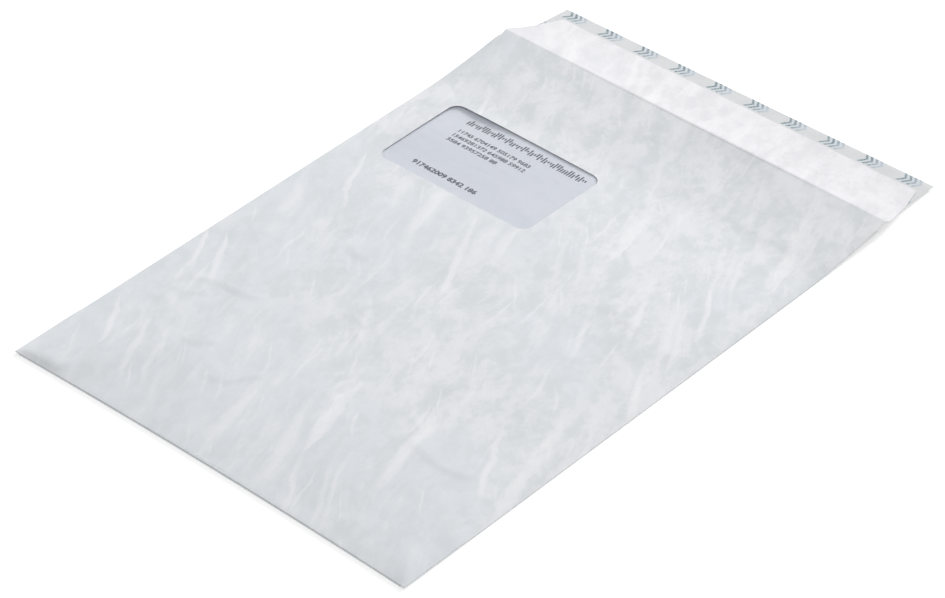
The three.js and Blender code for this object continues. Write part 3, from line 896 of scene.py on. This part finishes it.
# Back of the sheet: each side panel with the lower half of its fold, one lapping over the other
def makeBackPanel(name, side, raised):
    stepStart = backSizes["lap"] + backSizes["lapMargin"]
    xs = spread(flatX, (stepStart + backSizes["lapFall"], backSizes["step"]),
                (stepStart, backSizes["seamStep"]), (-backSizes["lap"], backSizes["step"]))
    base, outward, down = foldRun(flatX, xs)
    throat = hingeY - backSizes["throatDepth"]
    edgeRun = backSizes["edgeRun"] * backSizes["throatDip"]
    ys = spread(bottomY + backSizes["bottomMargin"], (throat - edgeRun, backSizes["step"]))
    shares = np.concatenate([np.zeros(len(ys)), backSizes["edgeShares"]])[:, None]
    ys = np.concatenate([ys, throat - edgeRun + edgeRun * shares[len(ys):, 0]])[:, None]
    lift = lie["lapStep"] * (1 - smooth((xs - stepStart) / backSizes["lapFall"])) if raised else 0
    lift = np.concatenate([np.zeros(len(foldAngles)), lift + 0 * xs])

    def face(inset):
        x = base + (foldRadius - inset) * outward + 0 * ys
        y = ys - backSizes["throatDip"] * shares * (1 - np.minimum(np.abs(x) / flatX, 1))
        half = openFold(y)
        z = backLevel(y) + half - (half - inset) * down + lift
        grid = pullIn(np.stack([side * x, y, z], -1))
        return grid if side < 0 else grid[:, ::-1]

    upper, lower = face(lie["thickness"]), face(0)
    flat = np.stack([side * 2 * halfWidth - lower[..., 0], lower[..., 1]], -1)
    return thinSolid(name, upper, lower, flat)


for name, node, side, raised in (("leftBackSheet", "left_back_panel", -1, False),
                                 ("rightBackSheet", "right_back_panel", 1, True)):
    piece = finishPiece(makeBackPanel(name, side, raised), "panel_sheet", "envelope_body", panelFinish)
    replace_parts(piece, node)

# Bottom flap, folded under and glued over both side panels
tongueSizes = {
    "inset": 2.5 * mm, "taper": 13 * mm, "corner": 6 * mm, "depth": 32 * mm, "step": 2 * mm, "columns": 91,
    "cornerShares": (0.25, 0.48, 0.67, 0.82, 0.92, 0.98, 1),
}


def makeBottomTongue():
    foldMiddle = backLevel(bottomY) + foldRadius
    corner = tongueSizes["corner"]
    straight = spread(flatY, (tongueEnd - corner, tongueSizes["step"]))
    rounded = tongueEnd - corner + corner * np.array(tongueSizes["cornerShares"])
    base, outward, down = (part[:, None] for part in foldRun(flatY, np.concatenate([straight, rounded])))
    shares = np.linspace(-1, 1, tongueSizes["columns"])

    def face(inset):
        y = base - (foldRadius - inset) * outward
        z = foldMiddle - (foldMiddle - inset) * down
        half = halfWidth - tongueSizes["inset"]
        half = half - tongueSizes["taper"] * np.maximum(y - flatY, 0) / tongueSizes["depth"]
        into = np.clip(y - (tongueEnd - corner), 0, corner)
        half = half - corner + np.sqrt(corner ** 2 - into ** 2)
        x = shares * half
        return pullIn(np.stack([x, y + 0 * x, z + 0 * x], -1))

    upper, lower = face(lie["thickness"]), face(0)
    flat = np.stack([lower[..., 0], 2 * bottomY - lower[..., 1]], -1)
    return thinSolid("bottomTongue", upper, lower, flat)


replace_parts(finishPiece(makeBottomTongue(), "panel_sheet", "envelope_body", panelFinish), "bottom_flap")
print("back panels and bottom flap are made")

# Film and its glue frame, pressed up under the front's inner face
filmSizes = {
    "thickness": 0.05 * mm, "below": 0.05 * mm,
    "glue": 0.025 * mm, "glueBelow": 0.012 * mm, "glueInset": 1.5 * mm, "glueWidth": 6 * mm,
    "cells": (55, 38), "glueStep": 1.5 * mm,
}


def makeFilm():
    columns, rows = filmSizes["cells"]
    x, y = np.meshgrid(np.linspace(filmLow.x, filmHigh.x, columns), np.linspace(filmLow.y, filmHigh.y, rows))
    depth = lie["thickness"] + filmSizes["below"]
    return plate("windowFilm", x, y, lambda x, y, d: frontLevel(x, y, depth + d), filmSizes["thickness"])


def makeGlueFrame():
    reach = filmSizes["glueInset"] + filmSizes["glueWidth"]
    x, y = np.meshgrid(spread(windowLeft - reach, (windowRight + reach, filmSizes["glueStep"])),
                       spread(windowBottom - reach, (windowTop + reach, filmSizes["glueStep"])))
    keep, x, y = cutWindow(x, y, filmSizes["glueInset"])
    depth = lie["thickness"] + filmSizes["glueBelow"]
    return plate("glueFrame", x, y, lambda x, y, d: frontLevel(x, y, depth + d), filmSizes["glue"], keep=keep)


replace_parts(finishPiece(makeFilm(), "clear_film", "envelope_body", clearFilm), "window_film")
frameGlue = glueMaterial("frameGlue", dict(glueLook, place=sheetPlace))
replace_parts(finishPiece(makeGlueFrame(), "white_glue", "envelope_body", frameGlue), "window_glue_frame")
for node in ("centre_seam_glue", "bottom_flap_glue"):
    for place in frame["nodes"][node].material_slots:
        place.material = seamGlue
print("window film and glue are made")


# Peel-and-seal strip under the flap and its liner, which stands out past the flap
def makeAdhesive():
    half, near, far = (flapSizes[key] for key in ("adhesiveHalf", "adhesiveNear", "adhesiveFar"))
    columns, rows = flapSizes["adhesiveCells"]
    x, s = np.meshgrid(np.linspace(-half, half, columns), np.linspace(near, far, rows))
    depth = lie["thickness"] + lie["gap"]
    faces = [flapPoint(x, s, depth + d) for d in (0, flapSizes["adhesiveThickness"])]
    return thinSolid("adhesiveStrip", *faces, faces[0][..., :2])


def makeLiner():
    reach, width = flapSizes["linerReach"], flapSizes["linerWidth"]
    half = (linerHigh.x - linerLow.x) / 2
    columns, rows = flapSizes["linerCells"]
    x, s = np.meshgrid(np.linspace(-half, half, columns), np.linspace(reach - width, reach, rows))
    flat = np.stack([x, hingeY + s], -1)
    askew = s + flapSizes["linerSkew"] * x
    shifted = x + flapSizes["linerShift"] - flapSizes["linerSkew"] * (s - reach + width / 2)
    depth = lie["thickness"] + 2 * lie["gap"] + flapSizes["adhesiveThickness"]
    faces = [flapPoint(shifted, askew, depth + d) for d in (0, flapSizes["linerThickness"])]
    return thinSolid("linerStrip", *faces, flat)


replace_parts(finishPiece(makeAdhesive(), "seal_adhesive", "flap", sealGlue), "flap_adhesive")
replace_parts(finishPiece(makeLiner(), "coated_liner", "liner", linerMaterial()), "release_liner")
print("adhesive and liner are made")

# Letter in the pocket, with plain digits and bars where a letter carries its print
letterSizes = {
    "thickness": 0.14 * mm, "gap": 0.04 * mm, "puff": (0.78, 1.0), "wave": 0.12 * mm, "inkDepth": 0.02 * mm,
    "bridge": 50 * mm,          # how far the page stands off the back beside the centre seam
    "sunken": ((-79 * mm, 104 * mm), (17 * mm, 14 * mm), 0.55),     # a corner of the page has sunk back
    "play": 6 * mm,             # how far it can slide to either side
    "playSteps": 9,
    "pitch": 3 * mm,
    "endRuns": (50 * mm, 30 * mm), "sideRun": 12 * mm,      # it comes to rest over these at its edges
    "waveRuns": (16 * mm, 31 * mm), "waveSwing": 0.6,
}


# The page lies on the back and puffs up towards the front, as far as there is room
def letterLevel(x, y, depth):
    seam = lie["lapStep"] * (1 - smooth((np.abs(x) - backSizes["lap"]) / letterSizes["bridge"]))
    rest = backLevel(y) + seam + lie["thickness"] + letterSizes["gap"] + letterSizes["thickness"]
    above = lie["thickness"] + filmSizes["below"] + filmSizes["thickness"]
    room = foldedLevel(x, y) + pillow(x, y) + hang(x, y) - above - rest
    nearRun, farRun = letterSizes["endRuns"]
    ends = smooth((y - letterLow.y) / nearRun) * smooth((letterHigh.y - y) / farRun)
    waveX, waveY = letterSizes["waveRuns"]
    wave = letterSizes["wave"] * np.sin(x / waveX + letterSizes["waveSwing"] * np.sin(y / waveY)) * ends
    sides = smooth((letterHigh.x - np.abs(x)) / letterSizes["sideRun"])
    puff = np.interp(x, (windowLeft, windowRight), letterSizes["puff"])
    place, reach, share = letterSizes["sunken"]
    puff = puff - share * np.exp(-((x - place[0]) / reach[0]) ** 2 - ((y - place[1]) / reach[1]) ** 2)
    level = rest + (puff * np.maximum(room, 0) * ends + wave) * sides
    edge, play = letterSizes["pitch"], letterSizes["play"]
    for shift in np.linspace(-play, play, letterSizes["playSteps"]):    # clear of front and film all along
        overFilm = (x + shift > filmLow.x - edge) & (x + shift < filmHigh.x + edge)
        overFilm = overFilm & (y > filmLow.y - edge) & (y < filmHigh.y + edge)
        under = lie["thickness"] + letterSizes["gap"] + overFilm * (filmSizes["below"] + filmSizes["thickness"])
        level = np.minimum(level, frontLevel(x + shift, y, under))
    return level - depth


def makeLetter():
    pitch = letterSizes["pitch"]
    x, y = np.meshgrid(spread(letterLow.x, (letterHigh.x, pitch)), spread(letterLow.y, (letterHigh.y, pitch)))
    return plate("letterPage", x, y, letterLevel, letterSizes["thickness"])


printRows = {
    "digits": (                 # left, base line, size, boldness, width, digits in each group
        (-79.3, 88.0, 3.4, 0.09, 43.6, (5, 7, 6, 4)),
        (-79.3, 83.8, 3.4, 0.09, 43.9, (11, 6, 5)),
        (-79.3, 79.6, 3.4, 0.09, 30.3, (4, 8, 2)),
        (-79.4, 55.8, 4.0, 0.16, 38.9, (9, 4, 3)),
    ),
    "bars": {"left": -80.9, "right": -9.2, "base": 95.6, "height": 4.6, "count": 52, "width": 0.78},
    "seed": 11,
}


def digitRow(left, base, size, boldness, width, groups, draw):
    words = " ".join("".join(str(digit) for digit in draw.integers(0, 10, count)) for count in groups)
    curve = bpy.data.curves.new("digits", "FONT")
    curve.body = words
    curve.size = size
    curve.offset = boldness
    curve.extrude = 0.5
    curve.resolution_u = 3
    text = bpy.data.objects.new("digits", curve)
    scene.collection.objects.link(text)
    mesh = bpy.data.meshes.new_from_object(text.evaluated_get(bpy.context.evaluated_depsgraph_get()))
    points = np.array([vertex.co for vertex in mesh.vertices])
    faces = [list(face.vertices) for face in mesh.polygons]
    bpy.data.objects.remove(text)
    bpy.data.meshes.remove(mesh)
    points[:, 0] = left + (points[:, 0] - points[:, 0].min()) * width / np.ptp(points[:, 0])
    points[:, 1] += base
    return points, faces


def barRow(left, right, base, height, count, width, draw):
    cube = [(0, 0, -0.5), (1, 0, -0.5), (1, 1, -0.5), (0, 1, -0.5),
            (0, 0, 0.5), (1, 0, 0.5), (1, 1, 0.5), (0, 1, 0.5)]
    sides = [(0, 3, 2, 1), (4, 5, 6, 7), (0, 1, 5, 4), (1, 2, 6, 5), (2, 3, 7, 6), (3, 0, 4, 7)]
    spans = ((0.33, 0.67), (0.0, 0.67), (0.33, 1.0), (0.0, 1.0))
    points, faces = [], []
    for k, kind in enumerate(draw.choice(4, count, p=(0.14, 0.24, 0.28, 0.34))):
        x = left + (right - left - width) * k / (count - 1)
        low, high = spans[kind]
        faces += [[8 * k + v for v in side] for side in sides]
        points += [(x + width * a, base + height * (low + (high - low) * b), c) for a, b, c in cube]
    return np.array(points), faces


def makePrint():
    draw = np.random.default_rng(printRows["seed"])
    blocks = [digitRow(*row, draw) for row in printRows["digits"]]
    blocks.append(barRow(**printRows["bars"], draw=draw))
    points, faces = [], []
    for blockPoints, blockFaces in blocks:
        start = sum(len(p) for p in points)
        points.append(blockPoints)
        faces += [[v + start for v in face] for face in blockFaces]
    points = np.concatenate(points)
    x, y = points[:, 0] * mm, points[:, 1] * mm
    z = letterLevel(x, y, 0) + letterSizes["inkDepth"] * points[:, 2]
    return newPiece("letterPrint", np.stack([x, y, z], -1), faces, np.stack([x, y, 0 * x], -1))


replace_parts(finishPiece(makeLetter(), "letter_paper", "letter", letterPaper), "letter_sheet")
finishPiece(makePrint(), "letter_paper", "letter", ink)
print("letter is made")

# Camera as the photograph was taken
cameraPlace = {
    "target": (8.2 * mm, -0.2 * mm, 0.0),
    "azimuth": 41.27, "elevation": 38.18, "roll": 0.5, "distance": 1.8587, "lens": 159.88,
    "sensor": 36, "clipStart": 0.05,
}


def makeCamera():
    azimuth, elevation, roll = (math.radians(cameraPlace[key]) for key in ("azimuth", "elevation", "roll"))
    back = Vector((math.sin(azimuth) * math.cos(elevation), -math.cos(azimuth) * math.cos(elevation),
                   math.sin(elevation)))
    right = Vector((0, 0, 1)).cross(back).normalized()
    up = back.cross(right)
    turnedRight = right * math.cos(roll) + up * math.sin(roll)
    turnedUp = up * math.cos(roll) - right * math.sin(roll)
    camera = bpy.data.objects.new("camera", bpy.data.cameras.new("camera"))
    scene.collection.objects.link(camera)
    placed = Matrix((turnedRight, turnedUp, back)).transposed().to_4x4()
    placed.translation = Vector(cameraPlace["target"]) + back * cameraPlace["distance"]
    camera.matrix_world = placed
    camera.data.sensor_width = cameraPlace["sensor"]
    camera.data.lens = cameraPlace["lens"]
    camera.data.clip_start = cameraPlace["clipStart"]
    scene.camera = camera


makeCamera()

# Studio: a low soft lamp beyond the flap, even fill, and a white ground that keeps the shadow
studio = {
    "fill": 0.563,
    "keyPower": 266.0, "keySize": 1.95, "keyDistance": 4.6, "keyElevation": 22.0, "keySide": -4.0,
    "ground": 0.8, "groundLift": 0.5, "groundDrop": 0.3 * mm, "groundSize": 6, "groundRoughness": 0.9,
}


def makeLamp():
    lamp = bpy.data.lights.new("keyLamp", "AREA")
    lamp.shape = "DISK"
    lamp.size = studio["keySize"]
    lamp.energy = studio["keyPower"]
    up, side = math.radians(studio["keyElevation"]), math.radians(studio["keySide"])
    place = Vector((math.sin(side) * math.cos(up), math.cos(side) * math.cos(up), math.sin(up)))
    holder = bpy.data.objects.new("keyLamp", lamp)
    holder.location = place * studio["keyDistance"]
    holder.rotation_euler = place.to_track_quat("Z", "Y").to_euler()
    holder.visible_glossy = False       # no glare where the sheet is seen against the lamp
    scene.collection.objects.link(holder)


def seenRays(tree):
    path = addNode(tree, "ShaderNodeLightPath").outputs
    seen = calc(tree, "MAXIMUM", path["Is Camera Ray"], path["Is Glossy Ray"])
    return calc(tree, "MAXIMUM", seen, path["Is Transmission Ray"])


def makeStudio():
    makeLamp()
    world = bpy.data.worlds.new("studio")
    scene.world = world
    world.use_nodes = True
    tree = world.node_tree
    background = tree.nodes["Background"]
    background.inputs["Color"].default_value = (1, 1, 1, 1)
    tree.links.new(ramp(tree, seenRays(tree), 0.0, 1.0, studio["fill"], 1.0), background.inputs["Strength"])

    bpy.ops.mesh.primitive_plane_add(size=studio["groundSize"], location=(0, 0, -studio["groundDrop"]))
    ground = bpy.context.object
    ground.name = "ground"
    material, tree, sockets = newMaterial("whiteGround", studio["groundRoughness"], 0.0)
    sockets["Base Color"].default_value = (studio["ground"],) * 3 + (1,)
    sockets["Emission Color"].default_value = (1, 1, 1, 1)
    tree.links.new(calc(tree, "MULTIPLY", seenRays(tree), studio["groundLift"]), sockets["Emission Strength"])
    ground.data.materials.append(material)


makeStudio()
scene.view_settings.view_transform = "Standard"
print("camera and studio are set")
